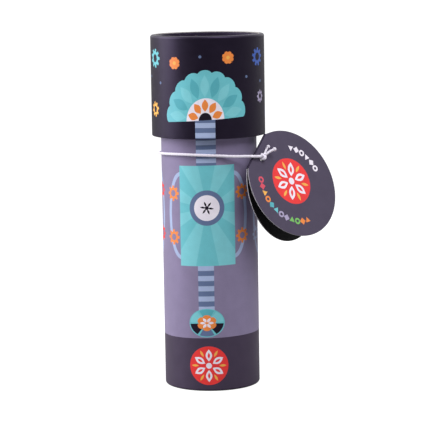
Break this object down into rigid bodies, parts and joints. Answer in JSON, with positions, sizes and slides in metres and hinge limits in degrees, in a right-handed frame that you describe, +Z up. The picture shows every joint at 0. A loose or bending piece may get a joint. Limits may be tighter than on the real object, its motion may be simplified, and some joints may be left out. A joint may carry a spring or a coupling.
{
  "type": "kaleidoscope",
  "caption": "Card tube kaleidoscope with a turning bead chamber cap, three inner mirrors, a peephole and a folded round hang-tag on an elastic loop",
  "frame": {"origin": "middle of the eyepiece end, on the surface the tube stands on", "axes": "+Z up along the tube to the bead end, -Y the front of the print, +X the side the tag hangs on"},
  "size_m": [0.0888, 0.0589, 0.171],
  "materials": {
    "printed_lilac": "laminated print, satin",
    "printed_dark": "laminated print, satin",
    "raw_card": "uncoated grey-brown card",
    "black_card": "matt black printed card",
    "clear_plastic": "clear, polished",
    "frosted_plastic": "frosted, translucent",
    "mirror_strip": "silvered",
    "clear_tape": "adhesive tape, glossy",
    "tag_card": "printed card, satin, white cut edge",
    "elastic": "round braided elastic, matt",
    "bead_teal": "moulded, glossy",
    "bead_orange": "moulded, glossy",
    "bead_red": "moulded, glossy",
    "bead_blue": "moulded, glossy",
    "bead_yellow": "moulded, glossy",
    "bead_green": "moulded, glossy",
    "bead_pink": "moulded, glossy"
  },
  "bodies": {
    "tube": {"body_wrap": "printed_lilac", "body_tube": "raw_card", "eyepiece_disc": "black_card", "eyepiece_window": "clear_plastic", "eyepiece_ring": "raw_card", "lower_mirror_holder": "raw_card", "upper_mirror_holder": "raw_card", "lower_mirror_tape": "clear_tape", "upper_mirror_tape": "clear_tape", "tube_window": "clear_plastic", "retaining_collar": "raw_card", "mirror_1": "mirror_strip", "mirror_2": "mirror_strip", "mirror_3": "mirror_strip"},
    "cap": {"cap_wrap": "printed_dark", "cap_tube": "raw_card", "bearing_sleeve": "raw_card", "window_seat": "raw_card", "chamber_window": "clear_plastic", "chamber_ring": "raw_card", "diffuser": "frosted_plastic", "end_ring": "black_card"},
    "beads_inner": {"bead_ball_red": "bead_red", "bead_star_yellow": "bead_yellow"},
    "beads_middle": {"bead_gear_teal": "bead_teal", "bead_hex_orange": "bead_orange", "bead_ball_blue": "bead_blue", "bead_triangle_green": "bead_green", "bead_tube_pink": "bead_pink"},
    "beads_outer": {"bead_star_orange": "bead_orange", "bead_gear_yellow": "bead_yellow", "bead_ball_teal": "bead_teal", "bead_tube_blue": "bead_blue", "bead_triangle_red": "bead_red", "bead_hex_green": "bead_green", "bead_star_pink": "bead_pink", "bead_ball_orange": "bead_orange"},
    "elastic": {"elastic_loop": "elastic", "elastic_knot": "elastic", "elastic_tail_short": "elastic", "elastic_tail_long": "elastic"},
    "tag": {"tag_front": "tag_card"},
    "tag_leaf": {"tag_back": "tag_card"}
  },
  "joints": [
    {"name": "cap_spin", "type": "hinge", "parent": "tube", "child": "cap", "pos_m": [0, 0, 0.146], "axis": [0, 0, 1], "continuous": true},
    {"name": "beads_inner_tumble", "type": "hinge", "parent": "cap", "child": "beads_inner", "pos_m": [0, 0, 0.155], "axis": [0, 0, 1], "continuous": true},
    {"name": "beads_middle_tumble", "type": "hinge", "parent": "cap", "child": "beads_middle", "pos_m": [0, 0, 0.155], "axis": [0, 0, 1], "continuous": true},
    {"name": "beads_outer_tumble", "type": "hinge", "parent": "cap", "child": "beads_outer", "pos_m": [0, 0, 0.155], "axis": [0, 0, 1], "continuous": true},
    {"name": "elastic_turn", "type": "hinge", "parent": "tube", "child": "elastic", "pos_m": [0, 0, 0.1135], "axis": [0, 0, 1], "continuous": true},
    {"name": "tag_swing", "type": "hinge", "parent": "elastic", "child": "tag", "pos_m": [0.02574, -0.0188, 0.11318], "axis": [0.9721, 0.2302, -0.046], "range_deg": [-15, 10]},
    {"name": "tag_open", "type": "hinge", "parent": "tag", "child": "tag_leaf", "pos_m": [0.02258, -0.0172, 0.11545], "axis": [-0.3819, -0.6838, -0.6218], "range_deg": [-4, 15]}
  ]
}
